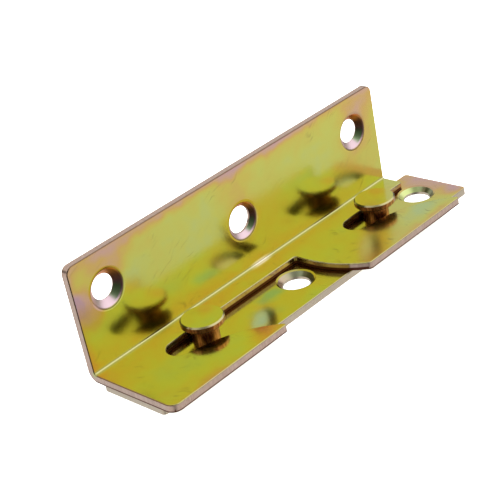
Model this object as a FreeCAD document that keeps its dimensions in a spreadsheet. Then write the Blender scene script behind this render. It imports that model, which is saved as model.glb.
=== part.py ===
"""Bed rail fastener: a folded hook plate that slides onto two riveted studs on a flat plate.

Frame: the origin is on the underside of the stud plate, on the axis of its middle screw hole.
X runs along the fold, Y points from the hooks to the wall, and Z points up.
"""
import FreeCAD, Part
import math
import os
import Sketcher

Vector = FreeCAD.Vector

# Driving dimensions in millimetres: alias, value, meaning
SIZES = [
    ("plate_length", 110.0, "angle plate, along the fold"),
    ("wall_height", 30.4, "angle plate, from the underside of the flange to the top of the wall"),
    ("flange_depth", 28.8, "angle plate, from the back of the wall to the front of the flange"),
    ("sheet_thickness", 2.0, "steel sheet of the angle plate"),
    ("bend_radius", 0.5, "inside of the fold"),
    ("slot_line", 12.2, "from the back of the wall to the middle of both slots"),
    ("first_slot", 18.8, "from the left end to the middle of the first slot's round end"),
    ("second_slot_inset", 24.6, "from the right end to the middle of the second slot's round end"),
    ("finger_radius", 30.0, "lead-in edge of each finger"),
    ("first_finger_reach", 20.0, "from the middle of the first slot's round end to the tip of its finger"),
    ("second_tip_inset", 0.8, "from the right end to the tip of the second finger"),
    ("tab_length", 45.7, "from the right end to the edge of the right tab, at the slot line"),
    ("tab_radius", 26.0, "curved edge of the right tab"),
    ("front_corner_radius", 2.5, "front left corner of the flange"),
    ("tab_corner_radius", 1.5, "front corner of the right tab"),
    ("inner_corner_radius", 0.8, "inner corner of the cut-out, and the end of the strip behind the slot"),
    ("tip_radius", 0.6, "tips of the fingers"),
    ("wall_corner_radius", 2.0, "top corners of the wall"),
    ("end_hole_inset", 9.7, "from each end of the wall to its end hole"),
    ("end_hole_height", 20.4, "end holes of the wall, above the underside of the flange"),
    ("middle_hole_height", 15.6, "middle hole of the wall, above the underside of the flange"),
    ("wall_hole", 6.4, "diameter of the end holes in the wall"),
    ("wall_middle_hole", 7.2, "diameter of the middle hole in the wall"),
    ("wall_countersink", 9.9, "diameter of the countersinks in the wall, with a sharp rim"),
    ("wall_rim_radius", 1.5, "rounded rims of the countersinks in the wall"),
    ("plate_hole", 7.2, "diameter of the screw holes in the stud plate"),
    ("plate_countersink", 9.8, "diameter of the countersinks in the stud plate, with a sharp rim"),
    ("plate_rim_break", 0.3, "broken rims of the countersinks in the stud plate"),
    ("stud_plate_overhang", 7.0, "how much longer the stud plate is than the angle plate"),
    ("stud_plate_width", 20.8, "stud plate, across"),
    ("stud_plate_thickness", 2.0, "steel strip of the stud plate"),
    ("plate_corner_radius", 1.0, "corners of the stud plate"),
    ("middle_hole", 57.2, "from the left end of the stud plate to its middle hole"),
    ("plate_hole_inset", 8.8, "from each end of the stud plate to its end hole"),
    ("first_stud", 26.3, "from the left end of the stud plate to the first stud"),
    ("stud_offset", 1.8, "studs, from the middle line of the stud plate towards the wall"),
    ("shank_diameter", 6.9, "stud, where it runs in the slot"),
    ("head_diameter", 11.0, "disc head of the stud"),
    ("head_thickness", 1.8, "disc head of the stud"),
    ("head_chamfer", 0.35, "broken rims of the head"),
    ("tenon_diameter", 5.0, "stud, where it passes through the stud plate"),
    ("rivet_diameter", 6.2, "spread end of the stud on the underside"),
    ("rivet_depth", 0.6, "depth of the spread end"),
    ("slot_clearance", 0.25, "between the shank and each side of the slot"),
    ("slide_clearance", 0.1, "between the flange and the stud plate"),
    ("head_gap", 2.1, "between the flange and the head"),
    ("rest_travel", 8.1, "how far the studs stand from the slots' closed ends"),
    ("edge_round", 0.3, "edges of the sheet on its countersunk side"),
]

# How far a cutting outline runs past the edge that it opens
OVERRUN = 2.0

# Two lengths closer than this are the same place
NEAR = 1e-4

# Points along an edge that tell where it runs
EDGE_POINTS = 5

doc = FreeCAD.newDocument("bed_rail_fastener")
sheet = doc.addObject("Spreadsheet::Sheet", "Sizes")
for row, (alias, value, meaning) in enumerate(SIZES, start=1):
    sheet.set(f"A{row}", meaning)
    sheet.set(f"B{row}", str(value))
    sheet.setAlias(f"B{row}", alias)
doc.recompute()

# Sizes that follow from the driving ones, as expressions on the sheet
SLOT_RADIUS = "(Sizes.shank_diameter / 2 + Sizes.slot_clearance)"
FLANGE_LEVEL = "(Sizes.stud_plate_thickness + Sizes.slide_clearance)"
HEAD_UNDERSIDE = f"({FLANGE_LEVEL} + Sizes.sheet_thickness + Sizes.head_gap)"
HEAD_TOP = f"({HEAD_UNDERSIDE} + Sizes.head_thickness)"
STUD_PLATE_LENGTH = "(Sizes.plate_length + Sizes.stud_plate_overhang)"
PLATE_END_X = f"({STUD_PLATE_LENGTH} - Sizes.middle_hole)"
FIRST_STUD_X = "(Sizes.first_stud - Sizes.middle_hole)"
SECOND_SLOT = "(Sizes.plate_length - Sizes.second_slot_inset)"
SECOND_STUD_X = f"({FIRST_STUD_X} + {SECOND_SLOT} - Sizes.first_slot)"
FIRST_TIP = "(Sizes.first_slot + Sizes.first_finger_reach)"
SECOND_TIP = "(Sizes.plate_length - Sizes.second_tip_inset)"
TAB_EDGE = "(Sizes.plate_length - Sizes.tab_length)"
OUTER_BEND = "(Sizes.bend_radius + Sizes.sheet_thickness)"

# Full angle of a wood screw's head, and of the spread ends of the studs
SCREW_CONE = "90 deg"
RIVET_CONE = "2 * atan((Sizes.rivet_diameter - Sizes.tenon_diameter) / 2 / Sizes.rivet_depth)"


def measure(expression):
    """Value of an expression on the sheet, in millimetres or degrees."""
    found = sheet.evalExpression(expression)
    return float(getattr(found, "Value", found))


def size(alias):
    """Value of one driving dimension."""
    return measure(f"Sizes.{alias}")


def new_body(label):
    """An empty body with its node's name."""
    body = doc.addObject("PartDesign::Body", label)
    body.Label = label
    return body


def new_sketch(body, role, name, lift=None):
    """A sketch on one of the body's own origin planes, lifted along the plane's normal."""
    plane = next(feature for feature in body.Origin.OriginFeatures if feature.Role == role)
    sketch = body.newObject("Sketcher::SketchObject", name)
    sketch.AttachmentSupport = [(plane, "")]
    sketch.MapMode = "FlatFace"
    if lift:
        sketch.setExpression("AttachmentOffset.Base.z", lift)
    return sketch


def add_line(sketch, start, end):
    """Straight edge between two (x, y) points."""
    return sketch.addGeometry(Part.LineSegment(Vector(*start, 0), Vector(*end, 0)), False)


def add_arc(sketch, centre, start, end):
    """Round edge about a centre, counter-clockwise from one (x, y) point to another."""
    angles = [math.atan2(point[1] - centre[1], point[0] - centre[0]) for point in (start, end)]
    circle = Part.Circle(Vector(*centre, 0), Vector(0, 0, 1), math.dist(centre, start))
    return sketch.addGeometry(Part.ArcOfCircle(circle, *angles), False)


def fix(sketch, kind, *places):
    """Adds a rule without a size."""
    sketch.addConstraint(Sketcher.Constraint(kind, *places))


def tie(sketch, label, expression, kind, *places):
    """Adds a dimension and ties it to the sheet."""
    index = sketch.addConstraint(Sketcher.Constraint(kind, *places, measure(expression)))
    sketch.renameConstraint(index, label)
    sketch.setExpression(f"Constraints.{label}", expression)


def chain(sketch, edges):
    """Joins the end of each straight edge to the start of the next."""
    for first, second in zip(edges, edges[1:]):
        fix(sketch, "Coincident", first, 2, second, 1)


def tie_right(sketch, label, expression, edge, end):
    """Ties how far a point lies right of the sketch's origin."""
    tie(sketch, label, expression, "DistanceX", -1, 1, edge, end)


def tie_up(sketch, label, expression, edge, end):
    """Ties how far a point lies above the sketch's origin."""
    tie(sketch, label, expression, "DistanceY", -1, 1, edge, end)


def tie_down(sketch, label, expression, edge, end):
    """Ties how far a point lies below the sketch's origin."""
    tie(sketch, label, expression, "DistanceY", edge, end, -1, 1)


def dress_edges(body, kind, name, chosen):
    """Puts a fillet or a chamfer on the edges of the body that the test picks."""
    base = body.Tip
    names = [f"Edge{i}" for i, edge in enumerate(base.Shape.Edges, start=1) if chosen(edge)]
    dressing = body.newObject(kind, name)
    dressing.Base = (base, names)
    return dressing


def round_edges(body, name, alias, chosen):
    """Fillets the edges of the body that the test picks."""
    fillet = dress_edges(body, "PartDesign::Fillet", name, chosen)
    fillet.setExpression("Radius", f"Sizes.{alias}")
    doc.recompute()


def break_edges(body, name, alias, chosen):
    """Chamfers the edges of the body that the test picks."""
    chamfer = dress_edges(body, "PartDesign::Chamfer", name, chosen)
    chamfer.setExpression("Size", f"Sizes.{alias}")
    doc.recompute()


def upright_at(x, y):
    """Test for the upright edge at a place in plan."""
    def chosen(edge):
        return all(math.hypot(v.X - x, v.Y - y) < NEAR for v in edge.Vertexes) and not edge.Closed
    return chosen


def drill(body, name, sketch, diameter, countersink, cone, upwards=False):
    """Countersunk holes through the body at the sketch's circles; the cone has the given full angle."""
    doc.recompute()
    before = body.Tip.Shape.Volume
    hole = body.newObject("PartDesign::Hole", name)
    hole.Profile = sketch
    hole.DepthType = "ThroughAll"
    hole.Reversed = upwards
    hole.HoleCutType = "Countersink"
    hole.HoleCutCustomValues = True
    hole.setExpression("Diameter", diameter)
    hole.setExpression("HoleCutDiameter", countersink)
    hole.setExpression("HoleCutCountersinkAngle", cone)
    doc.recompute()
    if body.Tip.Shape.Volume >= before:
        raise RuntimeError(f"{name} cuts nothing")


def draw_hook(sketch, label, slot_expression, tip_expression):
    """Draws one hook's edge: the back of the slot, its round end, and the finger's lead-in to its tip.

    The round end is tangent to the straight back edge, and the lead-in is an arc that leaves the round
    end without a corner and ends at the tip. Its centre lies one finger radius from the tip, and one
    finger radius plus one slot radius from the middle of the round end.
    """
    radius = measure(SLOT_RADIUS)
    finger = size("finger_radius")
    slot = (measure(slot_expression), -size("slot_line"))
    tip = (measure(tip_expression), -size("flange_depth"))
    span = math.dist(slot, tip)
    along = ((finger + radius) ** 2 - finger ** 2 + span ** 2) / (2 * span)
    aside = math.sqrt((finger + radius) ** 2 - along ** 2)
    ahead = ((tip[0] - slot[0]) / span, (tip[1] - slot[1]) / span)
    centre = (slot[0] + along * ahead[0] + aside * ahead[1], slot[1] + along * ahead[1] - aside * ahead[0])
    share = radius / (finger + radius)
    meeting = (slot[0] + share * (centre[0] - slot[0]), slot[1] + share * (centre[1] - slot[1]))
    back = (slot[0], slot[1] + radius)
    round_end = add_arc(sketch, slot, back, meeting)
    lead_in = add_arc(sketch, centre, tip, meeting)
    back_edge = add_line(sketch, back, (back[0] + radius, back[1]))
    fix(sketch, "Tangent", round_end, 1, back_edge, 1)
    fix(sketch, "Tangent", round_end, 2, lead_in, 2)
    fix(sketch, "Horizontal", back_edge)
    tie_right(sketch, f"{label}_slot", slot_expression, round_end, 3)
    tie_down(sketch, f"{label}_slot_line", "Sizes.slot_line", round_end, 3)
    tie(sketch, f"{label}_slot_radius", SLOT_RADIUS, "Radius", round_end)
    tie(sketch, f"{label}_finger_radius", "Sizes.finger_radius", "Radius", lead_in)
    tie_right(sketch, f"{label}_tip", tip_expression, lead_in, 1)
    tie_down(sketch, f"{label}_front", "Sizes.flange_depth", lead_in, 1)
    return back_edge, lead_in, back, tip


def draw_fold(body):
    """Section of the folded sheet: wall, fold and flange."""
    sketch = new_sketch(body, "YZ_Plane", "fold_section")
    depth = size("flange_depth")
    height = size("wall_height")
    thick = size("sheet_thickness")
    outer = measure(OUTER_BEND)
    bend = (-outer, outer)
    underside = add_line(sketch, (-depth, 0), (-outer, 0))
    outer_bend = add_arc(sketch, bend, (-outer, 0), (0, outer))
    wall_back = add_line(sketch, (0, outer), (0, height))
    wall_top = add_line(sketch, (0, height), (-thick, height))
    wall_front = add_line(sketch, (-thick, height), (-thick, outer))
    inner_bend = add_arc(sketch, bend, (-outer, thick), (-thick, outer))
    flange_top = add_line(sketch, (-outer, thick), (-depth, thick))
    flange_front = add_line(sketch, (-depth, thick), (-depth, 0))
    fix(sketch, "Tangent", underside, 2, outer_bend, 1)
    fix(sketch, "Tangent", outer_bend, 2, wall_back, 1)
    chain(sketch, [wall_back, wall_top, wall_front])
    fix(sketch, "Tangent", wall_front, 2, inner_bend, 2)
    fix(sketch, "Tangent", inner_bend, 1, flange_top, 1)
    chain(sketch, [flange_top, flange_front, underside])
    for edge in (underside, wall_top, flange_top):
        fix(sketch, "Horizontal", edge)
    for edge in (wall_back, wall_front, flange_front):
        fix(sketch, "Vertical", edge)
    fix(sketch, "Coincident", inner_bend, 3, outer_bend, 3)
    fix(sketch, "PointOnObject", wall_back, 2, -2)
    fix(sketch, "PointOnObject", underside, 1, -1)
    tie(sketch, "bend_radius", "Sizes.bend_radius", "Radius", inner_bend)
    tie(sketch, "sheet_thickness", "Sizes.sheet_thickness", "DistanceX", wall_top, 2, wall_top, 1)
    tie(sketch, "flange_depth", "Sizes.flange_depth", "DistanceX", underside, 1, -1, 1)
    tie_up(sketch, "wall_height", "Sizes.wall_height", wall_back, 2)
    return sketch


def draw_cutouts(body):
    """Plan of what is punched out of the flange: the gap between the hooks, and the mouth at its end."""
    sketch = new_sketch(body, "XY_Plane", "hook_cutouts")
    past_front = f"(Sizes.flange_depth + {OVERRUN})"
    past_end = f"(Sizes.plate_length + {OVERRUN})"
    below = -measure(past_front)

    back_edge, lead_in, back, tip = draw_hook(sketch, "first", "Sizes.first_slot", FIRST_TIP)
    edge_x = measure(TAB_EDGE)
    bow = size("tab_radius")
    drop = size("flange_depth") - size("slot_line")
    straight_end = (edge_x, -size("slot_line"))
    tab_front = (edge_x + bow - math.sqrt(bow ** 2 - drop ** 2), tip[1])
    tab_line = add_line(sketch, (edge_x, back[1]), straight_end)
    tab_bow = add_arc(sketch, (edge_x + bow, straight_end[1]), straight_end, tab_front)
    out_right = add_line(sketch, tab_front, (tab_front[0], below))
    closing = add_line(sketch, (tab_front[0], below), (tip[0], below))
    out_left = add_line(sketch, (tip[0], below), tip)
    fix(sketch, "Coincident", back_edge, 2, tab_line, 1)
    fix(sketch, "Tangent", tab_line, 2, tab_bow, 1)
    fix(sketch, "Coincident", tab_bow, 2, out_right, 1)
    chain(sketch, [out_right, closing, out_left])
    fix(sketch, "Coincident", out_left, 2, lead_in, 1)
    for edge in (tab_line, out_right, out_left):
        fix(sketch, "Vertical", edge)
    fix(sketch, "Horizontal", closing)
    tie_right(sketch, "tab_edge", TAB_EDGE, tab_line, 2)
    tie_down(sketch, "tab_bow_start", "Sizes.slot_line", tab_line, 2)
    tie(sketch, "tab_radius", "Sizes.tab_radius", "Radius", tab_bow)
    tie_down(sketch, "tab_front", "Sizes.flange_depth", tab_bow, 2)
    tie_down(sketch, "past_front", past_front, out_right, 2)

    back_edge, lead_in, back, tip = draw_hook(sketch, "second", SECOND_SLOT, SECOND_TIP)
    end = measure(past_end)
    mouth = add_line(sketch, (end, back[1]), (end, below))
    closing = add_line(sketch, (end, below), (tip[0], below))
    out_left = add_line(sketch, (tip[0], below), tip)
    chain(sketch, [back_edge, mouth, closing, out_left])
    fix(sketch, "Coincident", out_left, 2, lead_in, 1)
    for edge in (mouth, out_left):
        fix(sketch, "Vertical", edge)
    fix(sketch, "Horizontal", closing)
    tie_right(sketch, "past_end", past_end, mouth, 2)
    tie_down(sketch, "past_front_end", past_front, mouth, 2)
    return sketch, tab_front


def draw_holes(sketch, diameter, places):
    """Circles at (label, x expression, y expression) places; None is a centre on the axis."""
    for label, across, up in places:
        centre = [measure(along) if along else 0.0 for along in (across, up)]
        rim = Part.Circle(Vector(*centre, 0), Vector(0, 0, 1), measure(diameter) / 2)
        circle = sketch.addGeometry(rim, False)
        tie(sketch, f"{label}_diameter", diameter, "Diameter", circle)
        for line, expression, kind in ((-2, across, "DistanceX"), (-1, up, "DistanceY")):
            if expression is None:
                fix(sketch, "PointOnObject", circle, 3, line)
            elif measure(expression) < 0:
                tie(sketch, f"{label}_{kind}", f"-1 * ({expression})", kind, circle, 3, -1, 1)
            else:
                tie(sketch, f"{label}_{kind}", expression, kind, -1, 1, circle, 3)


def rim_of(alias):
    """Test for the circles of one diameter, such as the rims of the countersinks."""
    def chosen(edge):
        return edge.Closed and abs(edge.Curve.Radius - size(alias) / 2) < NEAR
    return chosen


def on_countersunk_side(edge):
    """Test for the sheet's outline on the side that the punch entered, the inside of the fold."""
    thick = size("sheet_thickness")
    outer = measure(OUTER_BEND)
    if edge.Closed:
        return False
    for point in edge.discretize(EDGE_POINTS):
        on_flange = abs(point.z - thick) < NEAR and point.y < -outer + NEAR
        on_wall = abs(point.y + thick) < NEAR and point.z > outer - NEAR
        on_bend = abs(math.hypot(point.y + outer, point.z - outer) - size("bend_radius")) < NEAR
        if not (on_flange or on_wall or on_bend):
            return False
    ends = [vertex.Point for vertex in edge.Vertexes]
    along_fold = abs(ends[0].x - ends[1].x) > NEAR
    at_bend = all(math.hypot(p.y + outer, p.z - outer) < size("bend_radius") + NEAR for p in ends)
    return not (along_fold and at_bend)


def make_angle_plate():
    """The folded sheet with its two hooks and its three countersunk holes."""
    body = new_body("angle_plate")
    fold = body.newObject("PartDesign::Pad", "folded_sheet")
    fold.Profile = draw_fold(body)
    fold.setExpression("Length", "Sizes.plate_length")
    doc.recompute()
    whole = body.Tip.Shape.Volume

    cutouts, tab_front = draw_cutouts(body)
    punch = body.newObject("PartDesign::Pocket", "punched_hooks")
    punch.Profile = cutouts
    punch.Type = "Length"
    punch.setExpression("Length", "Sizes.sheet_thickness")
    punch.Reversed = True
    doc.recompute()
    if body.Tip.Shape.Volume >= whole:
        raise RuntimeError("the hooks cut nothing")

    front = -size("flange_depth")
    length = size("plate_length")
    back_edge = measure(SLOT_RADIUS) - size("slot_line")
    tips = [(measure(FIRST_TIP), front), (measure(SECOND_TIP), front)]
    inner_corners = [(measure(TAB_EDGE), back_edge), (length, back_edge)]
    round_edges(body, "front_corner", "front_corner_radius", upright_at(0, front))
    round_edges(body, "tab_corner", "tab_corner_radius", upright_at(*tab_front))
    for i, place in enumerate(tips, start=1):
        round_edges(body, f"finger_tip_{i}", "tip_radius", upright_at(*place))
    for i, place in enumerate(inner_corners, start=1):
        round_edges(body, f"inner_corner_{i}", "inner_corner_radius", upright_at(*place))

    def wall_corner(edge):
        at_top = all(abs(v.Z - size("wall_height")) < NEAR for v in edge.Vertexes)
        return at_top and abs(edge.Vertexes[0].X - edge.Vertexes[-1].X) < NEAR
    round_edges(body, "wall_corners", "wall_corner_radius", wall_corner)
    round_edges(body, "rolled_edges", "edge_round", on_countersunk_side)

    ends = new_sketch(body, "XZ_Plane", "end_hole_centres", "Sizes.sheet_thickness")
    draw_holes(ends, "Sizes.wall_hole", [
        ("left", "Sizes.end_hole_inset", "Sizes.end_hole_height"),
        ("right", "Sizes.plate_length - Sizes.end_hole_inset", "Sizes.end_hole_height"),
    ])
    drill(body, "end_holes", ends, "Sizes.wall_hole", "Sizes.wall_countersink", SCREW_CONE)
    middle = new_sketch(body, "XZ_Plane", "middle_hole_centre", "Sizes.sheet_thickness")
    draw_holes(middle, "Sizes.wall_middle_hole", [
        ("middle", "Sizes.plate_length / 2", "Sizes.middle_hole_height"),
    ])
    drill(body, "wall_middle_hole", middle, "Sizes.wall_middle_hole", "Sizes.wall_countersink", SCREW_CONE)
    round_edges(body, "wall_rims", "wall_rim_radius", rim_of("wall_countersink"))

    body.setExpression("Placement.Base.x", f"{FIRST_STUD_X} - Sizes.rest_travel - Sizes.first_slot")
    body.setExpression("Placement.Base.y", "Sizes.stud_offset + Sizes.slot_line")
    body.setExpression("Placement.Base.z", FLANGE_LEVEL)
    return body


def make_stud_plate():
    """The flat strip with its three countersunk holes and the two holes that the studs are riveted into."""
    body = new_body("stud_plate")
    outline = new_sketch(body, "XY_Plane", "plate_outline")
    left = -size("middle_hole")
    right = measure(PLATE_END_X)
    half = size("stud_plate_width") / 2
    corners = [(left, -half), (right, -half), (right, half), (left, half)]
    edges = [add_line(outline, corners[i], corners[(i + 1) % 4]) for i in range(4)]
    chain(outline, edges + edges[:1])
    for edge in edges[0::2]:
        fix(outline, "Horizontal", edge)
    fix(outline, "Vertical", edges[1])
    fix(outline, "Symmetric", edges[3], 1, edges[3], 2, -1)
    tie(outline, "left_end", "Sizes.middle_hole", "DistanceX", edges[0], 1, -1, 1)
    tie(outline, "length", STUD_PLATE_LENGTH, "DistanceX", edges[0], 1, edges[0], 2)
    tie(outline, "width", "Sizes.stud_plate_width", "DistanceY", edges[1], 1, edges[1], 2)
    strip = body.newObject("PartDesign::Pad", "strip")
    strip.Profile = outline
    strip.setExpression("Length", "Sizes.stud_plate_thickness")
    doc.recompute()

    def corner(edge):
        return any(upright_at(*place)(edge) for place in corners)
    round_edges(body, "plate_corners", "plate_corner_radius", corner)

    def top_outline(edge):
        return all(abs(v.Z - size("stud_plate_thickness")) < NEAR for v in edge.Vertexes)
    round_edges(body, "plate_rolled_edges", "edge_round", top_outline)

    holes = new_sketch(body, "XY_Plane", "plate_hole_centres", "Sizes.stud_plate_thickness")
    draw_holes(holes, "Sizes.plate_hole", [
        ("left", "Sizes.plate_hole_inset - Sizes.middle_hole", None),
        ("middle", None, None),
        ("right", f"{PLATE_END_X} - Sizes.plate_hole_inset", None),
    ])
    drill(body, "plate_holes", holes, "Sizes.plate_hole", "Sizes.plate_countersink", SCREW_CONE)
    break_edges(body, "plate_rims", "plate_rim_break", rim_of("plate_countersink"))

    rivets = new_sketch(body, "XY_Plane", "rivet_centres")
    draw_holes(rivets, "Sizes.tenon_diameter", [
        ("first", FIRST_STUD_X, "Sizes.stud_offset"),
        ("second", SECOND_STUD_X, "Sizes.stud_offset"),
    ])
    drill(body, "rivet_holes", rivets, "Sizes.tenon_diameter", "Sizes.rivet_diameter", RIVET_CONE,
          upwards=True)
    return body


def make_stud(label, across):
    """A turned mushroom stud: disc head, shank, and a tenon spread flush with the plate's underside."""
    body = new_body(label)
    sketch = new_sketch(body, "XZ_Plane", f"{label}_profile")
    stations = [
        ("rivet", "Sizes.rivet_diameter / 2", None),
        ("tenon_start", "Sizes.tenon_diameter / 2", "Sizes.rivet_depth"),
        ("tenon_end", "Sizes.tenon_diameter / 2", "Sizes.stud_plate_thickness"),
        ("shank_start", "Sizes.shank_diameter / 2", "Sizes.stud_plate_thickness"),
        ("shank_end", "Sizes.shank_diameter / 2", HEAD_UNDERSIDE),
        ("head_start", "Sizes.head_diameter / 2", HEAD_UNDERSIDE),
        ("head_end", "Sizes.head_diameter / 2", HEAD_TOP),
    ]
    ring = [(measure(radius), measure(level) if level else 0.0) for name, radius, level in stations]
    points = [(0.0, 0.0)] + ring + [(0.0, measure(HEAD_TOP))]
    edges = [add_line(sketch, points[i], points[(i + 1) % len(points)]) for i in range(len(points))]
    chain(sketch, edges + edges[:1])
    fix(sketch, "Coincident", edges[0], 1, -1, 1)
    fix(sketch, "Horizontal", edges[0])
    fix(sketch, "Horizontal", edges[-2])
    fix(sketch, "Vertical", edges[-1])
    for edge, (name, radius, level) in zip(edges, stations):
        tie_right(sketch, f"{name}_radius", radius, edge, 2)
        if level:
            tie_up(sketch, f"{name}_level", level, edge, 2)
    turned = body.newObject("PartDesign::Revolution", f"{label}_turned")
    turned.Profile = sketch
    turned.ReferenceAxis = (sketch, ["V_Axis"])
    turned.Angle = 360
    doc.recompute()

    break_edges(body, f"{label}_rims", "head_chamfer", rim_of("head_diameter"))
    body.setExpression("Placement.Base.x", across)
    body.setExpression("Placement.Base.y", "Sizes.stud_offset")
    return body


def check(bodies):
    """Stops if any object failed to build or any solid isn't sound."""
    for item in doc.Objects:
        if any(word in item.State for word in ("Invalid", "Error")):
            raise RuntimeError(f"{item.Name} failed: {item.State}")
    for body in bodies:
        shape = body.Shape
        if shape.isNull() or not shape.isValid() or len(shape.Solids) != 1:
            raise RuntimeError(f"{body.Label} isn't one sound solid")
        print(f"{body.Label}: volume {shape.Volume:.1f} mm3, box {shape.BoundBox}")


nodes = [
    make_angle_plate(),
    make_stud_plate(),
    make_stud("left_stud", FIRST_STUD_X),
    make_stud("right_stud", SECOND_STUD_X),
]
doc.recompute()
check(nodes)
os.makedirs("parts", exist_ok=True)
for node in nodes:
    node.Shape.exportStep(f"parts/{node.Label}.step")
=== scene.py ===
# %% [markdown]
# # Bed rail fastener: finish, light and camera
# The fitting is two pieces of pressed steel sheet and two turned studs, all yellow-passivated over zinc.
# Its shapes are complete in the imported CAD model, so this lesson adds no new piece to it. The work here is
# the finish: a thin chromate film over bright zinc, whose tints drift from olive to gold, orange and pink.

import bpy
import numpy as np
from mathutils import Matrix, Vector


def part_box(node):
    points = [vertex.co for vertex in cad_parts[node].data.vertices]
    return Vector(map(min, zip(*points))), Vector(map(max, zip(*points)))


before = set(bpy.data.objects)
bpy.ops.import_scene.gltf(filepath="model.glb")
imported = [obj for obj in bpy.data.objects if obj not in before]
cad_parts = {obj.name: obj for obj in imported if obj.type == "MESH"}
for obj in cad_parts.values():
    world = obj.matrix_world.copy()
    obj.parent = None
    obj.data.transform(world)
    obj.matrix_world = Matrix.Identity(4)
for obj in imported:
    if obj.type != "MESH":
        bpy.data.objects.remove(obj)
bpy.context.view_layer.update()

MM = 0.001

# %% [markdown]
# The camera stands in front and to the left of the fitting and looks down on it, through a long lens and
# turned a little about its own axis. Its place was fitted to the outlines of the sheet, so it is written as
# the eye's position and two directions of the picture. A camera could also be aimed with a Track To
# constraint, but that gives no roll.

# %% Camera
EYE = Vector((-203.65, -214.29, 166.64)) * MM
VIEW = Vector((0.58928, 0.66296, -0.46177))
IMAGE_RIGHT = Vector((0.67072, -0.72006, -0.17787))
FOCAL_LENGTH, SENSOR_WIDTH = 96.163, 36.0
NEAREST = 10 * MM

camera_data = bpy.data.cameras.new("camera")
camera_data.lens = FOCAL_LENGTH
camera_data.sensor_width = SENSOR_WIDTH
camera_data.clip_start = NEAREST
camera = bpy.data.objects.new("camera", camera_data)
turn = Matrix((IMAGE_RIGHT, IMAGE_RIGHT.cross(VIEW), -VIEW)).transposed()
camera.matrix_world = Matrix.Translation(EYE) @ turn.to_4x4()
bpy.context.scene.collection.objects.link(camera)
bpy.context.scene.camera = camera
roll = np.degrees(np.arcsin(IMAGE_RIGHT.z))
print("camera at", [round(v / MM) for v in EYE], "mm, turned", round(roll, 1), "degrees")

# %% [markdown]
# The world and every material below are small networks of nodes. One function adds a node, sets its
# properties and fills its sockets, with a constant or with a link, so that a network reads from the top
# down. Colours are written as sRGB hex values, as a paint program gives them, and a second function turns
# them to linear light.

# %% Two helpers for nodes
WHITE = "#ffffff"


def linear(hex_colour):
    """sRGB hex to linear RGBA: c / 12.92 below 0.04045, and ((c + 0.055) / 1.055) ^ 2.4 above."""
    c = np.array([int(hex_colour[i:i + 2], 16) for i in (1, 3, 5)]) / 255
    return (*np.where(c < 0.04045, c / 12.92, ((c + 0.055) / 1.055) ** 2.4).tolist(), 1.0)


def node(tree, kind, inputs=None, **settings):
    """Add a node of one kind with its settings; an input is linked if it is a socket, and set if it isn't."""
    made = tree.nodes.new(kind)
    for name, value in settings.items():
        setattr(made, name, value)
    for key, value in (inputs or {}).items():
        if isinstance(value, bpy.types.NodeSocket):
            tree.links.new(value, made.inputs[key])
        else:
            made.inputs[key].default_value = value
    return made.outputs


print("white in linear light:", linear(WHITE))

# %% [markdown]
# Bright metal shows little of its own: it shows the room. The room here is a white tent over a glossy table,
# and the lens looks in through a dark opening. What is above the horizon is seen again below it, so the
# opening is looked up from a direction whose height is folded upwards. A soft box makes the front right
# brightest, above the horizon only. A picture of a real studio could light the metal too, but these few
# numbers can be tuned one by one.

# %% Directions in the tent
SMOOTH = {"interpolation_type": "SMOOTHSTEP"}
SOFT_BOX_DIRECTION = Vector((0.589, -0.663, 0.462))
# Degrees off the middle of the opening and of the soft box: where each begins, and where it is full.
OPENING_ANGLES = (44.0, 24.0)
SOFT_BOX_ANGLES = (60.0, 20.0)

world = bpy.data.worlds.new("light_tent")
bpy.context.scene.world = world
world.use_nodes = True
tree = world.node_tree
tree.nodes.clear()
direction = node(tree, "ShaderNodeTexCoord")["Generated"]
axes = node(tree, "ShaderNodeSeparateXYZ", {0: direction})
height = node(tree, "ShaderNodeMath", {0: axes["Z"]}, operation="ABSOLUTE")[0]
folded = node(tree, "ShaderNodeCombineXYZ", {"X": axes["X"], "Y": axes["Y"], "Z": height})[0]
level = {}
for name, seen, towards, angles in (
    ("opening", folded, -VIEW, OPENING_ANGLES),
    ("soft_box", direction, SOFT_BOX_DIRECTION, SOFT_BOX_ANGLES),
):
    begins, full = np.cos(np.radians(angles))
    nearness = node(tree, "ShaderNodeVectorMath", {0: seen, 1: towards}, operation="DOT_PRODUCT")["Value"]
    level[name] = node(tree, "ShaderNodeMapRange", {
        "Value": nearness, "From Min": begins, "From Max": full,
    }, **SMOOTH)["Result"]
print("light tent with an opening of", 2 * OPENING_ANGLES[0], "degrees towards the lens")

# %% [markdown]
# The brightness is the tent plus the soft box, made darker in two places: the opening, and a band along the
# horizon where the tent stops short of the table. Those two dark places draw the shanks, the slots and one
# side of each countersink.

# %% Brightness of the tent
TENT, SOFT_BOX = 0.85, 0.65
OPENING_DARK, HORIZON_DARK = 0.83, 0.75
# The sine of the angle over the horizon: where the dark band is full, and where it ends.
HORIZON_BAND = (0.08, 0.30)

glow = node(tree, "ShaderNodeMath", {
    0: level["soft_box"], 1: SOFT_BOX, 2: TENT,
}, operation="MULTIPLY_ADD")[0]
unlit = node(tree, "ShaderNodeMath", {
    0: level["opening"], 1: -OPENING_DARK, 2: 1.0,
}, operation="MULTIPLY_ADD")[0]
above = node(tree, "ShaderNodeMapRange", {
    "Value": height, "From Min": HORIZON_BAND[0], "From Max": HORIZON_BAND[1], "To Min": 1 - HORIZON_DARK,
}, **SMOOTH)["Result"]
for dimmer in (unlit, above):
    glow = node(tree, "ShaderNodeMath", {0: glow, 1: dimmer}, operation="MULTIPLY")[0]
background = node(tree, "ShaderNodeBackground", {"Color": linear(WHITE), "Strength": glow})
node(tree, "ShaderNodeOutputWorld", {"Surface": background["Background"]})
print("the tent's strength is", TENT, "and", TENT + SOFT_BOX, "in the soft box")

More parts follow.
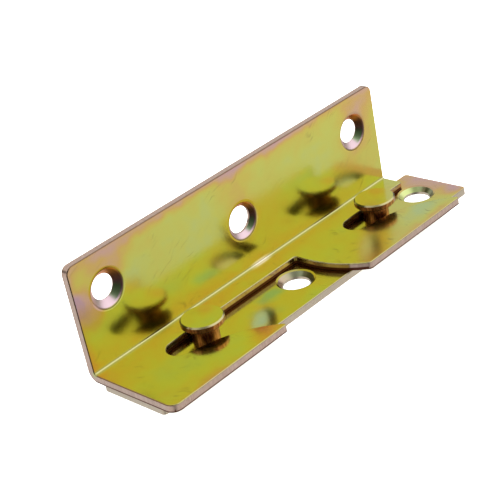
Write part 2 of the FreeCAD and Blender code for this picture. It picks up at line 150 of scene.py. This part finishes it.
# %% [markdown]
# A second soft box hangs overhead and lifts the paper to white. It is an area lamp, whose shadows are soft
# because it is far larger than the fitting. In bright metal it would show as a hard square, so it is hidden
# from reflections.

# %% Overhead soft box
LAMP_TOWARDS, LAMP_DISTANCE = Vector((0.1, 0.1, 1.0)).normalized(), 0.9
LAMP_SIZE, LAMP_POWER = 1.2, 9.0

lamp_data = bpy.data.lights.new("overhead", "AREA")
lamp_data.size, lamp_data.energy = LAMP_SIZE, LAMP_POWER
lamp = bpy.data.objects.new("overhead", lamp_data)
aim = LAMP_TOWARDS.to_track_quat("Z", "Y").to_matrix().to_4x4()
lamp.matrix_world = Matrix.Translation(LAMP_TOWARDS * LAMP_DISTANCE) @ aim
lamp.visible_glossy = False
bpy.context.scene.collection.objects.link(lamp)
print("overhead soft box", LAMP_SIZE, "m across,", LAMP_POWER, "W")

# %% [markdown]
# The floor is a sheet of paper, far larger than the picture, that sweeps up at its rim, as a photographer
# hangs it, so that a low view meets no horizon. It is a polar grid: the angle runs one way and the radius
# the other. A plane would be simpler, but it ends in a line. The bright metal must show the tent and not
# the paper, so reflections pass the paper by.

# %% Floor
FLOOR_RADIUS, FLAT_RADIUS, RISE = 6.0, 2.0, 4.0
RINGS, SPOKES = 24, 96


def sweep(radius, flat, rise, rings, spokes):
    """Points at (r cos a, r sin a, rise t^2 (3 - 2 t)), where t grows from 0 at flat to 1 at radius."""
    r = radius * np.linspace(0, 1, rings + 1)[1:, None]
    a = np.linspace(0, 2 * np.pi, spokes, endpoint=False)[None, :]
    t = np.clip((r - flat) / (radius - flat), 0, 1)
    z = rise * t * t * (3 - 2 * t) + 0 * a
    ring = np.stack([r * np.cos(a), r * np.sin(a), z], -1).reshape(-1, 3)
    i, j = np.meshgrid(np.arange(rings - 1), np.arange(spokes), indexing="ij")
    k = (j + 1) % spokes
    quads = np.stack([i * spokes + j, (i + 1) * spokes + j, (i + 1) * spokes + k, i * spokes + k], -1)
    around = np.arange(spokes)
    fan = np.stack([np.full(spokes, rings * spokes), around, (around + 1) % spokes], -1)
    return np.concatenate([ring, np.zeros((1, 3))]), quads.reshape(-1, 4).tolist() + fan.tolist()


points, faces = sweep(FLOOR_RADIUS, FLAT_RADIUS, RISE, RINGS, SPOKES)
paper_mesh = bpy.data.meshes.new("floor")
paper_mesh.from_pydata(points.tolist(), [], faces)
paper_mesh.shade_smooth()
floor = bpy.data.objects.new("floor", paper_mesh)
bpy.context.scene.collection.objects.link(floor)
floor.visible_glossy = False
print("floor of", len(faces), "faces,", 2 * FLOOR_RADIUS, "m across")

# %% [markdown]
# Matt white paper scatters light evenly and has almost no gloss, so the eye sees a plain ground with a soft
# shadow. A faint fibre keeps the white from being one flat number. The paper also glows a little, which
# stands for the light that reaches it from all of the tent.

# %% Matt white paper
# A Mix node has sockets for every type of data, and these are the ones that mix two colours.
FACTOR, COLOUR_A, COLOUR_B, MIXED = 0, 6, 7, 2
FIBRE_SIZE = 0.8 * MM
PAPER_COLOURS = "#f4f4f2", "#fbfbfa"
PAPER_ROUGHNESS, PAPER_GLOSS, PAPER_GLOW = 0.9, 0.1, 0.8

paper = bpy.data.materials.new("matt_white_paper")
paper.use_nodes = True
tree = paper.node_tree
tree.nodes.clear()
where = node(tree, "ShaderNodeTexCoord")["Object"]
fibre = node(tree, "ShaderNodeTexNoise", {"Vector": where, "Scale": 1 / FIBRE_SIZE, "Detail": 3.0})["Fac"]
white = node(tree, "ShaderNodeMix", {
    FACTOR: fibre, COLOUR_A: linear(PAPER_COLOURS[0]), COLOUR_B: linear(PAPER_COLOURS[1]),
}, data_type="RGBA")[MIXED]
matt = node(tree, "ShaderNodeBsdfPrincipled", {
    "Base Color": white, "Roughness": PAPER_ROUGHNESS, "Specular IOR Level": PAPER_GLOSS,
    "Emission Color": linear(WHITE), "Emission Strength": PAPER_GLOW,
})["BSDF"]
node(tree, "ShaderNodeOutputMaterial", {"Surface": matt})
paper_mesh.materials.append(paper)
print("paper with fibres of", FIBRE_SIZE / MM, "mm")

# %% [markdown]
# Yellow passivation leaves a clear film on the zinc, some tenths of a micrometre thick. Light that is
# reflected at its two faces interferes, so the colour follows the thickness: blue-green where it is thinnest,
# then olive, gold and orange, and pink to mauve where it is thickest. So the finish is not painted as patches
# of colour. One number, the film's thickness, varies over the sheet, and one ramp turns it into a colour.

# %% The film's colours, thin to thick
FILM_COLOURS = {
    0.00: "#98bda6",
    0.20: "#b2c280",
    0.40: "#c2c261",
    0.55: "#c8b95a",
    0.70: "#cba963",
    0.80: "#c9a57e",
    0.90: "#c6a193",
    1.00: "#bb99a2",
}
PLAIN_FILM = 0.44
print(len(FILM_COLOURS), "film colours from", FILM_COLOURS[0.0], "to", FILM_COLOURS[1.0])

# %% [markdown]
# The bath drains from the sheet towards its edges and dries last there, and it is stirred around the holes,
# so the film is thick along the top and the left end of the wall and thin in a few pools. Each such place is
# an ellipsoid: its centre and its half sizes in millimetres, and how much it adds to the film in its middle.

# %% Where the film is thick or thin
WALL_FILM = [
    ((-3, 12, 33.5), (80, 9, 4), 0.42),
    ((-47, 12, 30), (11, 9, 6), 0.28),
    ((-59, 12, 24), (5, 9, 12), 0.30),
    ((-58, 12, 32), (6, 9, 6), 0.20),
    ((-59, 12, 9), (4, 9, 9), 0.26),
    ((-55, 12, 21), (7, 9, 8), 0.44),
    ((-3, 12, 28.5), (11, 9, 8), 0.18),
    ((-2.8, 12, 17.7), (9, 9, 9), 0.22),
    ((48, 12, 31), (16, 9, 9), 0.28),
    ((20, 12, 32), (24, 9, 7), 0.12),
    ((42.5, 12, 22.5), (9, 9, 9), 0.26),
    ((-3, 12, 7), (65, 9, 6), 0.06),
    ((46, 12, 8), (12, 9, 6), 0.02),
    ((35, 12, 11), (10, 9, 2.2), -0.10),
    ((-38, 12, 22), (9, 9, 8), -0.08),
]
FLANGE_FILM = [
    ((-3, 10, 4), (65, 4, 4), 0.06),
    ((-57, 9, 4), (6, 6, 4), 0.14),
    ((-22, -12, 4), (11, 6, 4), 0.36),
    ((-42, -16, 4), (26, 5, 4), 0.24),
    ((-46, -4, 4), (15, 10, 4), -0.14),
    ((38, -9, 4), (14, 6, 4), -0.16),
    ((45, -10, 4), (11, 8, 4), -0.08),
    ((34, -16, 4), (24, 3.5, 4), 0.26),
]
STRIP_FILM = [
    ((58, 2, 2), (11, 16, 4), 0.46),
    ((59, -9, 2), (7, 6, 4), 0.26),
    ((45, 8, 2), (9, 7, 4), 0.46),
    ((-9, 0.5, 2), (7, 4, 4), -0.46),
    ((-18, -5, 2), (6, 4, 4), -0.26),
    ((-3, -9, 2), (9, 4, 4), -0.12),
    ((0, 0, 2), (9, 9, 4), 0.16),
]
# From the axis of a stud.
STUD_FILM = [
    ((3.5, 3, 8), (5, 5, 4), 0.20),
    ((-3, -2, 8), (4, 4, 4), -0.10),
]
print("film varies in", len(WALL_FILM + FLANGE_FILM + STRIP_FILM + STUD_FILM), "places")

# %% [markdown]
# Between those places the film is never quite even. A slow drift and a finer mottle are noises added to it,
# and a third noise bends the ellipsoids by some millimetres, so that no outline looks drawn. Fixed patches
# would be easier, but the eye finds their borders at once.

# %% Colour of the film
# The size of each noise, and how much finer detail it has.
NOISES = {
    "bend": (9 * MM, 2.0),
    "drift": (22 * MM, 3.0),
    "mottle": (4 * MM, 4.0),
    "patch": (14 * MM, 1.0),
    "grain": (1.2 * MM, 3.0),
}
NOISE_RANGE = (0.3, 0.7)
BEND_BY = 7 * MM
DRIFT, MOTTLE = 0.08, 0.24
PLACE_BEGINS, PLACE_FULL = 1.0, 0.2


def film_colour(tree, bent, noise, places):
    """The ramp's colour at a thickness: the plain film, plus drift and mottle, plus what the places add.

    A place adds amount x smoothstep(length((point - centre) / half sizes)), which is 0 at PLACE_BEGINS and 1
    at PLACE_FULL.
    """
    film = node(tree, "ShaderNodeMapRange", {
        "Value": noise["drift"]["Fac"], "From Min": NOISE_RANGE[0], "From Max": NOISE_RANGE[1],
        "To Min": PLAIN_FILM - DRIFT, "To Max": PLAIN_FILM + DRIFT,
    })["Result"]
    film = node(tree, "ShaderNodeMath", {
        0: noise["mottle"]["Fac"], 1: MOTTLE, 2: film,
    }, operation="MULTIPLY_ADD")[0]
    film = node(tree, "ShaderNodeMath", {0: film, 1: MOTTLE / 2}, operation="SUBTRACT")[0]
    for centre, half, amount in places:
        scaled = node(tree, "ShaderNodeMapping", {
            "Vector": bent, "Location": [v * MM for v in centre], "Scale": [v * MM for v in half],
        }, vector_type="TEXTURE")[0]
        away = node(tree, "ShaderNodeVectorMath", {0: scaled}, operation="LENGTH")["Value"]
        added = node(tree, "ShaderNodeMapRange", {
            "Value": away, "From Min": PLACE_BEGINS, "From Max": PLACE_FULL, "To Max": amount,
        }, **SMOOTH)["Result"]
        film = node(tree, "ShaderNodeMath", {0: film, 1: added}, operation="ADD")[0]
    colour = node(tree, "ShaderNodeValToRGB", {"Fac": film})["Color"]
    stops = colour.node.color_ramp.elements
    for at, shade in FILM_COLOURS.items():
        stop = stops[0] if at == 0.0 else stops[-1] if at == 1.0 else stops.new(at)
        stop.position, stop.color = at, linear(shade)
    return colour


print("the plain film drifts from", round(PLAIN_FILM - DRIFT, 2), "to", round(PLAIN_FILM + DRIFT, 2))

# %% [markdown]
# Handling leaves faint slanting rubs in patches. They are a noise stretched to 9 by 4 by 0.6 mm, of which
# only the peaks show, and a second noise leaves most of the sheet clear. Single scratches could be drawn as
# curves instead, but hundreds of faint ones read better as a texture.

# %% Rub marks
RUB_SIZE = [v * MM for v in (9, 4, 0.6)]
RUB_TURN = (0.0, -0.6, 0.5)
RUB_PEAKS, RUB_PATCHES = (0.60, 0.78), (0.46, 0.62)
RUB_MOST = 0.50
RUB_COLOUR = "#7d7746"


def rub_layer(tree, bent, noise):
    """A layer of (masks, colour, roughness added): peaks of the stretched noise x peaks of the patches."""
    along = node(tree, "ShaderNodeMapping", {
        "Vector": bent, "Rotation": RUB_TURN, "Scale": RUB_SIZE,
    }, vector_type="TEXTURE")[0]
    rub = node(tree, "ShaderNodeTexNoise", {"Vector": along, "Scale": 1.0, "Detail": 2.0})["Fac"]
    rub = node(tree, "ShaderNodeMapRange", {
        "Value": rub, "From Min": RUB_PEAKS[0], "From Max": RUB_PEAKS[1], "To Max": RUB_MOST,
    }, **SMOOTH)["Result"]
    patch = node(tree, "ShaderNodeMapRange", {
        "Value": noise["patch"]["Fac"], "From Min": RUB_PATCHES[0], "From Max": RUB_PATCHES[1],
    }, **SMOOTH)["Result"]
    return (rub, patch), RUB_COLOUR, 0.1


print("rubs of", [round(v / MM, 1) for v in RUB_SIZE], "mm")

# %% [markdown]
# Yellow-passivated zinc is a bright metal under a tinted film. To the eye it is a soft mirror, sharp enough
# to show the studs in the wall and dull enough to blur them. So it is one metallic shader with a low
# roughness that drifts, and a fine grain from the rolled sheet. Wear, edges and countersinks are laid over
# the film one after another. Each layer is a mask, a colour and some added roughness. A sheared edge also
# leans a little, because the blade tears the lower part of the sheet, and a bump gives it that lean.

# %% Yellow-passivated zinc on one piece
ROUGHNESS = (0.12, 0.20)
# Streaks run up an edge, as the blade leaves them, and round a stud's side they read as blotches.
STREAK_SIZE = [v * MM for v in (0.7, 0.7, 2.5)]
# The real grain is finer than a pixel, so it is drawn as coarse as it needs to show.
GRAIN_HEIGHT, GRAIN_STRENGTH = 0.1 * MM, 0.07
SHEAR_LEAN = 0.25


def passivated_zinc(name, places, middle, layers):
    """The film's colour with layers over it: colour = mix(colour, tint, mask), roughness += mask x added.

    The layers function gives the mask of the sheared edges, which lean, and a list of (masks to multiply,
    tint, roughness added). A tint is one colour, or an amount and the two colours that it mixes.
    """
    made = bpy.data.materials.new(name)
    made.use_nodes = True
    tree = made.node_tree
    tree.nodes.clear()
    coordinates = node(tree, "ShaderNodeTexCoord")
    where = node(tree, "ShaderNodeVectorMath", {
        0: coordinates["Object"], 1: middle,
    }, operation="SUBTRACT")[0]
    noise = {
        key: node(tree, "ShaderNodeTexNoise", {"Vector": where, "Scale": 1 / size, "Detail": detail})
        for key, (size, detail) in NOISES.items()
    }
    bent = node(tree, "ShaderNodeVectorMath", {
        0: noise["bend"]["Color"], 1: (BEND_BY,) * 3, 2: where,
    }, operation="MULTIPLY_ADD")[0]
    bent = node(tree, "ShaderNodeVectorMath", {0: bent, 1: (BEND_BY / 2,) * 3}, operation="SUBTRACT")[0]
    colour = film_colour(tree, bent, noise, places)
    rough = node(tree, "ShaderNodeMapRange", {
        "Value": noise["drift"]["Fac"], "From Min": NOISE_RANGE[0], "From Max": NOISE_RANGE[1],
        "To Min": ROUGHNESS[0], "To Max": ROUGHNESS[1],
    })["Result"]
    streak = node(tree, "ShaderNodeMapping", {
        "Vector": where, "Scale": STREAK_SIZE,
    }, vector_type="TEXTURE")[0]
    streak = node(tree, "ShaderNodeTexNoise", {"Vector": streak, "Scale": 1.0, "Detail": 2.0})["Fac"]
    edge, laid = layers(tree, coordinates, streak)
    for (mask, *others), tint, added in [rub_layer(tree, bent, noise), *laid]:
        for other in others:
            mask = node(tree, "ShaderNodeMath", {0: mask, 1: other}, operation="MULTIPLY")[0]
        if isinstance(tint, str):
            tint = linear(tint)
        else:
            amount, first, second = tint
            tint = node(tree, "ShaderNodeMix", {
                FACTOR: amount, COLOUR_A: linear(first), COLOUR_B: linear(second),
            }, data_type="RGBA")[MIXED]
        colour = node(tree, "ShaderNodeMix", {
            FACTOR: mask, COLOUR_A: colour, COLOUR_B: tint,
        }, data_type="RGBA")[MIXED]
        rough = node(tree, "ShaderNodeMath", {0: mask, 1: added, 2: rough}, operation="MULTIPLY_ADD")[0]
    bump = node(tree, "ShaderNodeBump", {
        "Height": noise["grain"]["Fac"], "Strength": GRAIN_STRENGTH, "Distance": GRAIN_HEIGHT,
    })["Normal"]
    height = node(tree, "ShaderNodeSeparateXYZ", {0: coordinates["Object"]})["Z"]
    lean = node(tree, "ShaderNodeMath", {0: height, 1: edge}, operation="MULTIPLY")[0]
    bump = node(tree, "ShaderNodeBump", {"Height": lean, "Normal": bump, "Distance": SHEAR_LEAN})["Normal"]
    metal = node(tree, "ShaderNodeBsdfPrincipled", {
        "Base Color": colour, "Metallic": 1.0, "Roughness": rough, "Normal": bump,
    })["BSDF"]
    node(tree, "ShaderNodeOutputMaterial", {"Surface": metal})
    return made


print("a sheared edge leans", round(np.degrees(np.arctan(SHEAR_LEAN))), "degrees")

# %% [markdown]
# Edges, rims and countersinks are found by the way a surface points. On a face of the sheet it points
# straight out, on a sheared edge it lies in the sheet, and on a rim or a cone it is between the two. Faces
# could be picked by hand and given materials of their own, but a mask like this also works on a new pack.

# %% Masks of edges and slants
EDGE_BEGINS, EDGE_FULL = 0.5, 0.2


def edge_and_slant(tree, flat, begins, full):
    """Masks of the edges, and of the slants less the edges, from flat: 1 on a face and 0 on an edge."""
    edge, slant = (
        node(tree, "ShaderNodeMapRange", {
            "Value": flat, "From Min": start, "From Max": end,
        }, **SMOOTH)["Result"]
        for start, end in ((EDGE_BEGINS, EDGE_FULL), (begins, full))
    )
    slant = node(tree, "ShaderNodeMath", {0: slant, 1: edge}, operation="SUBTRACT", use_clamp=True)[0]
    return edge, slant


print("an edge lies within", round(np.degrees(np.arcsin(EDGE_FULL))), "degrees of the sheet")

# %% [markdown]
# The inside of the fold carries a thin pale line of painted highlight, which is wider and paler near its
# middle. It is a cylinder along the fold.

# %% Painted highlight along the fold
FOLD_AT = Vector((0.5, 12.0, 4.1)) * MM
# Colours of the painted highlight: along the fold, and at its paler middle.
FOLD_HIGHLIGHT_COLOURS = "#c2c084", "#e0d8c0"
FOLD_WIDTH, MIDDLE_WIDENS = 0.8 * MM, 0.35 * MM
FOLD_MIDDLE_ENDS, FOLD_MIDDLE_FULL = 5 * MM, 1 * MM
FOLD_SOFT, FOLD_MOST = (1.1, 0.8), 0.9


def fold_highlight(tree, place):
    """The mask of the painted highlight, from the distance to the fold's line over its width there, and how
    much its paler middle counts.
    """
    off = node(tree, "ShaderNodeVectorMath", {0: place, 1: FOLD_AT}, operation="SUBTRACT")[0]
    along = node(tree, "ShaderNodeSeparateXYZ", {0: off})["X"]
    along = node(tree, "ShaderNodeMath", {0: along}, operation="ABSOLUTE")[0]
    paler_middle = node(tree, "ShaderNodeMapRange", {
        "Value": along, "From Min": FOLD_MIDDLE_ENDS, "From Max": FOLD_MIDDLE_FULL,
    }, **SMOOTH)["Result"]
    across = node(tree, "ShaderNodeVectorMath", {0: off, 1: (0.0, 1.0, 1.0)}, operation="MULTIPLY")[0]
    across = node(tree, "ShaderNodeVectorMath", {0: across}, operation="LENGTH")["Value"]
    width = node(tree, "ShaderNodeMath", {
        0: paler_middle, 1: MIDDLE_WIDENS, 2: FOLD_WIDTH,
    }, operation="MULTIPLY_ADD")[0]
    across = node(tree, "ShaderNodeMath", {0: across, 1: width}, operation="DIVIDE")[0]
    fold = node(tree, "ShaderNodeMapRange", {
        "Value": across, "From Min": FOLD_SOFT[0], "From Max": FOLD_SOFT[1], "To Max": FOLD_MOST,
    }, **SMOOTH)["Result"]
    return fold, paler_middle


print("the fold's line is", 2 * FOLD_WIDTH / MM, "mm wide")

# %% [markdown]
# A countersink is cut before the sheet is plated. Its tint goes by the way the cone points: orange where it
# faces down, at the top of the hole, and pale pink where it faces up, at the bottom, with a painted green
# glint between. The right side mirrors the opening of the tent, and a painted brown shade deepens it there,
# because the tent alone leaves it too grey.

# %% Countersinks in the wall
# Tints where a cone faces down, at the top of a hole, and where it faces up.
CONE_COLOURS = "#f2994a", "#dcc2ca"
# A painted brown shade for the right side of a cone, and a painted green glint.
SHADE_COLOUR, GLINT_COLOUR = "#6c4240", "#86b070"
GLINT_WAY = (-0.766, 0.0, 0.643)
# Limits of the surface's direction: where each tint begins and is full, and the most that it covers.
FACING_UP = (-0.6, 0.5)
SHADED, SHADED_MOST = (-0.34, -0.68), 0.8
GLINT, GLINT_MOST = (0.58, 0.70), 0.8


def countersink_layers(tree, normal, cone_masks):
    """Layers of the cones: two tints by height, then the painted shade on the right side and the painted
    glint by where they point.
    """
    way = node(tree, "ShaderNodeSeparateXYZ", {0: normal})
    faces_up = node(tree, "ShaderNodeMapRange", {
        "Value": way["Z"], "From Min": FACING_UP[0], "From Max": FACING_UP[1],
    })["Result"]
    shaded = node(tree, "ShaderNodeMapRange", {
        "Value": way["X"], "From Min": SHADED[0], "From Max": SHADED[1], "To Max": SHADED_MOST,
    }, **SMOOTH)["Result"]
    glint = node(tree, "ShaderNodeVectorMath", {0: normal, 1: GLINT_WAY}, operation="DOT_PRODUCT")["Value"]
    glint = node(tree, "ShaderNodeMapRange", {
        "Value": glint, "From Min": GLINT[0], "From Max": GLINT[1], "To Max": GLINT_MOST,
    }, **SMOOTH)["Result"]
    return [
        (cone_masks, (faces_up, *CONE_COLOURS), 0.1),
        # Painted shade on the right side of the cones, and a painted glint.
        ((*cone_masks, shaded), SHADE_COLOUR, 0.0),
        ((*cone_masks, glint), GLINT_COLOUR, 0.0),
    ]


print("the glint points", round(np.degrees(np.arctan2(GLINT_WAY[2], -GLINT_WAY[0]))), "degrees above -X")

# %% [markdown]
# On the folded sheet the flange's faces point up and the wall's along Y, so a point's place says which of the
# two counts. The lower part of an inner edge, where the blade tears the sheet, is rougher and darkened with
# painted shade, and a thin line of painted shadow runs along the bottom of every edge. The rims are worn pale
# around the flange and stay brown around the wall.

# %% Layers of the folded sheet
EDGE_COLOURS = "#dcc2b0", "#aa8c7c"
# The last colour is a painted shade for the lower part of the edges.
WORN_COLOUR, RIM_COLOUR, TORN_SHADE_COLOUR = "#b8ae80", "#86664c", "#6a3828"
SHEET_SLANT = (0.97, 0.80)
# Heights where the painted shade begins and is full: on the lower part of an inner edge, and in a thin line
# at the bottom of every edge.
TORN_SHADE_HEIGHTS, BOTTOM_SHADE_HEIGHTS = (3.1 * MM, 2.7 * MM), (2.55 * MM, 2.3 * MM)
# Each region's axis, its test and its limit.
SHEET_REGIONS = {
    "low": ("Z", "LESS_THAN", 4.9 * MM),
    "high": ("Z", "GREATER_THAN", 4.4 * MM),
    "back": ("Y", "GREATER_THAN", 11.4 * MM),
    "wall": ("Z", "GREATER_THAN", 7.0 * MM),
    "off_front": ("Y", "GREATER_THAN", -14.3 * MM),
    "off_left": ("X", "GREATER_THAN", -57.0 * MM),
    "off_right": ("X", "LESS_THAN", 51.4 * MM),
    "off_top": ("Z", "LESS_THAN", 31.5 * MM),
}


def angle_layers(tree, coordinates, streak):
    """flat = max(|normal Z| on the flange, |normal Y| on the wall); masks follow from it and the regions."""
    way = node(tree, "ShaderNodeSeparateXYZ", {0: coordinates["Normal"]})
    place = node(tree, "ShaderNodeSeparateXYZ", {0: coordinates["Object"]})
    region = {
        name: node(tree, "ShaderNodeMath", {0: place[axis], 1: limit}, operation=test)[0]
        for name, (axis, test, limit) in SHEET_REGIONS.items()
    }
    upright = node(tree, "ShaderNodeMath", {0: region["high"], 1: region["back"]}, operation="MAXIMUM")[0]
    faces_out = []
    for axis, part in (("Z", region["low"]), ("Y", upright)):
        size = node(tree, "ShaderNodeMath", {0: way[axis]}, operation="ABSOLUTE")[0]
        faces_out.append(node(tree, "ShaderNodeMath", {0: size, 1: part}, operation="MULTIPLY")[0])
    flat = node(tree, "ShaderNodeMath", {0: faces_out[0], 1: faces_out[1]}, operation="MAXIMUM")[0]
    edge, slant = edge_and_slant(tree, flat, *SHEET_SLANT)

    pale = node(tree, "ShaderNodeMath", {
        0: region["off_left"], 1: region["wall"],
    }, operation="SUBTRACT", use_clamp=True)[0]
    worn = node(tree, "ShaderNodeMath", {0: slant, 1: pale}, operation="MULTIPLY")[0]
    rim = node(tree, "ShaderNodeMath", {0: slant, 1: worn}, operation="SUBTRACT")[0]
    torn_shade, bottom_shade = (
        node(tree, "ShaderNodeMapRange", {
            "Value": place["Z"], "From Min": begins, "From Max": full,
        }, **SMOOTH)["Result"]
        for begins, full in (TORN_SHADE_HEIGHTS, BOTTOM_SHADE_HEIGHTS)
    )
    for part in ("off_front", "off_left", "off_right"):
        torn_shade = node(tree, "ShaderNodeMath", {0: torn_shade, 1: region[part]}, operation="MULTIPLY")[0]
    torn_shade = node(tree, "ShaderNodeMath", {0: torn_shade, 1: bottom_shade}, operation="MAXIMUM")[0]
    fold, paler_middle = fold_highlight(tree, coordinates["Object"])
    cone_masks = (slant, *(region[part] for part in ("wall", "off_left", "off_right", "off_top")))
    return edge, [
        ((edge,), (streak, *EDGE_COLOURS), 0.1),
        ((worn,), WORN_COLOUR, 0.1),
        ((rim,), RIM_COLOUR, 0.1),
        # Painted highlight along the inside of the fold.
        ((fold,), (paler_middle, *FOLD_HIGHLIGHT_COLOURS), 0.0),
        *countersink_layers(tree, coordinates["Normal"], cone_masks),
        # Painted shade on the lower part of the edges, which are also rougher there.
        ((torn_shade, edge), TORN_SHADE_COLOUR, 0.3),
    ]


print("the folded sheet has", len(SHEET_REGIONS), "regions")

# %% [markdown]
# The strip lies flat, so its faces point up and down and everything else is an edge or a countersink. Its
# edges are greyer than the sheet's, and the right hole has kept a green film on its far side.

# %% Layers of the strip
STRIP_EDGE_COLOUR, STRIP_EDGE_MOST = "#c8c0a6", 0.6
STRIP_CONE_COLOURS, STRIP_GREEN = ("#9aa07c", "#c2a494"), "#cfe08c"
STRIP_SLANT = (0.97, 0.75)
CONE_TURN = (-0.6, 0.6)
GREEN_WAY, GREEN_MOST = (0.0, -0.6), 0.7
GREEN_FROM_X, GREEN_FROM_Y = 30 * MM, -6 * MM


def strip_layers(tree, coordinates, streak):
    """flat = |normal Z|; the cones' tints go by normal X, and the green by normal Y near the right hole."""
    way = node(tree, "ShaderNodeSeparateXYZ", {0: coordinates["Normal"]})
    place = node(tree, "ShaderNodeSeparateXYZ", {0: coordinates["Object"]})
    flat = node(tree, "ShaderNodeMath", {0: way["Z"]}, operation="ABSOLUTE")[0]
    edge, cone = edge_and_slant(tree, flat, *STRIP_SLANT)
    grey = node(tree, "ShaderNodeMath", {0: edge, 1: STRIP_EDGE_MOST}, operation="MULTIPLY")[0]
    turned = node(tree, "ShaderNodeMapRange", {
        "Value": way["X"], "From Min": CONE_TURN[0], "From Max": CONE_TURN[1],
    })["Result"]
    green = node(tree, "ShaderNodeMapRange", {
        "Value": way["Y"], "From Min": GREEN_WAY[0], "From Max": GREEN_WAY[1], "To Max": GREEN_MOST,
    }, **SMOOTH)["Result"]
    near = [
        node(tree, "ShaderNodeMath", {0: place[axis], 1: limit}, operation="GREATER_THAN")[0]
        for axis, limit in (("X", GREEN_FROM_X), ("Y", GREEN_FROM_Y))
    ]
    return edge, [
        ((edge,), (streak, *EDGE_COLOURS), 0.1),
        ((grey,), STRIP_EDGE_COLOUR, 0.0),
        ((cone,), (turned, *STRIP_CONE_COLOURS), 0.14),
        ((cone, green, *near), STRIP_GREEN, 0.0),
    ]


print("the strip's green starts at x =", GREEN_FROM_X / MM, "mm")

# %% [markdown]
# A stud is turned, not sheared, so nothing leans. Its sides keep a darker, redder film than its head and are
# duller, because the lathe leaves fine rings. The head's underside is darkest of all, with a painted shade.

# %% Layers of a stud
# The sides' two tints, and the two tints of the painted shade under the head.
STUD_SIDES, STUD_UNDER_SHADES = ("#d89a78", "#8c5040"), ("#8c5c40", "#4a3128")
STUD_SLANT = (0.95, 0.75)
UNDER_WAY, BLOTCHES = (-0.3, -0.7), (0.35, 0.65)


def stud_layers(tree, coordinates, streak):
    """flat = |normal Z|; the sides are its edges, and the undersides, where normal Z is negative, get a
    painted shade.
    """
    way = node(tree, "ShaderNodeSeparateXYZ", {0: coordinates["Normal"]})
    flat = node(tree, "ShaderNodeMath", {0: way["Z"]}, operation="ABSOLUTE")[0]
    side, rim = edge_and_slant(tree, flat, *STUD_SLANT)
    under = node(tree, "ShaderNodeMapRange", {
        "Value": way["Z"], "From Min": UNDER_WAY[0], "From Max": UNDER_WAY[1],
    }, **SMOOTH)["Result"]
    blotch = node(tree, "ShaderNodeMapRange", {
        "Value": streak, "From Min": BLOTCHES[0], "From Max": BLOTCHES[1],
    })["Result"]
    return 0.0, [
        ((side,), (blotch, *STUD_SIDES), 0.16),
        ((rim,), WORN_COLOUR, 0.05),
        # Painted shade under the head.
        ((under,), (blotch, *STUD_UNDER_SHADES), 0.24),
    ]


print("stud sides from", STUD_SIDES[0], "to", STUD_SIDES[1])

# %% [markdown]
# Each piece gets its own copy of the finish, with its own places and layers. The patterns are centred on
# the frame for the two sheets. For a stud they are centred on its own axis, so that both studs are alike.

# %% A finish for every piece
axis_of = {name: (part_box(name)[0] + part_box(name)[1]) / 2 for name in ("left_stud", "right_stud")}
for middle in axis_of.values():
    middle.z = 0.0
FINISHES = {
    "angle_plate": (WALL_FILM + FLANGE_FILM, Vector(), angle_layers),
    "stud_plate": (STRIP_FILM, Vector(), strip_layers),
    "left_stud": (STUD_FILM, axis_of["left_stud"], stud_layers),
    "right_stud": (STUD_FILM, axis_of["right_stud"], stud_layers),
}
for name, finish in FINISHES.items():
    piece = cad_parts[name]
    piece.data.materials.clear()
    piece.data.materials.append(passivated_zinc("yellow_zinc_" + name, *finish))
    print(name, "has", len(piece.data.materials[0].node_tree.nodes), "nodes")

# %% [markdown]
# The last cell keeps the colours plain, with no film curve over them.

# %% Finish
bpy.context.scene.view_settings.view_transform = "Standard"
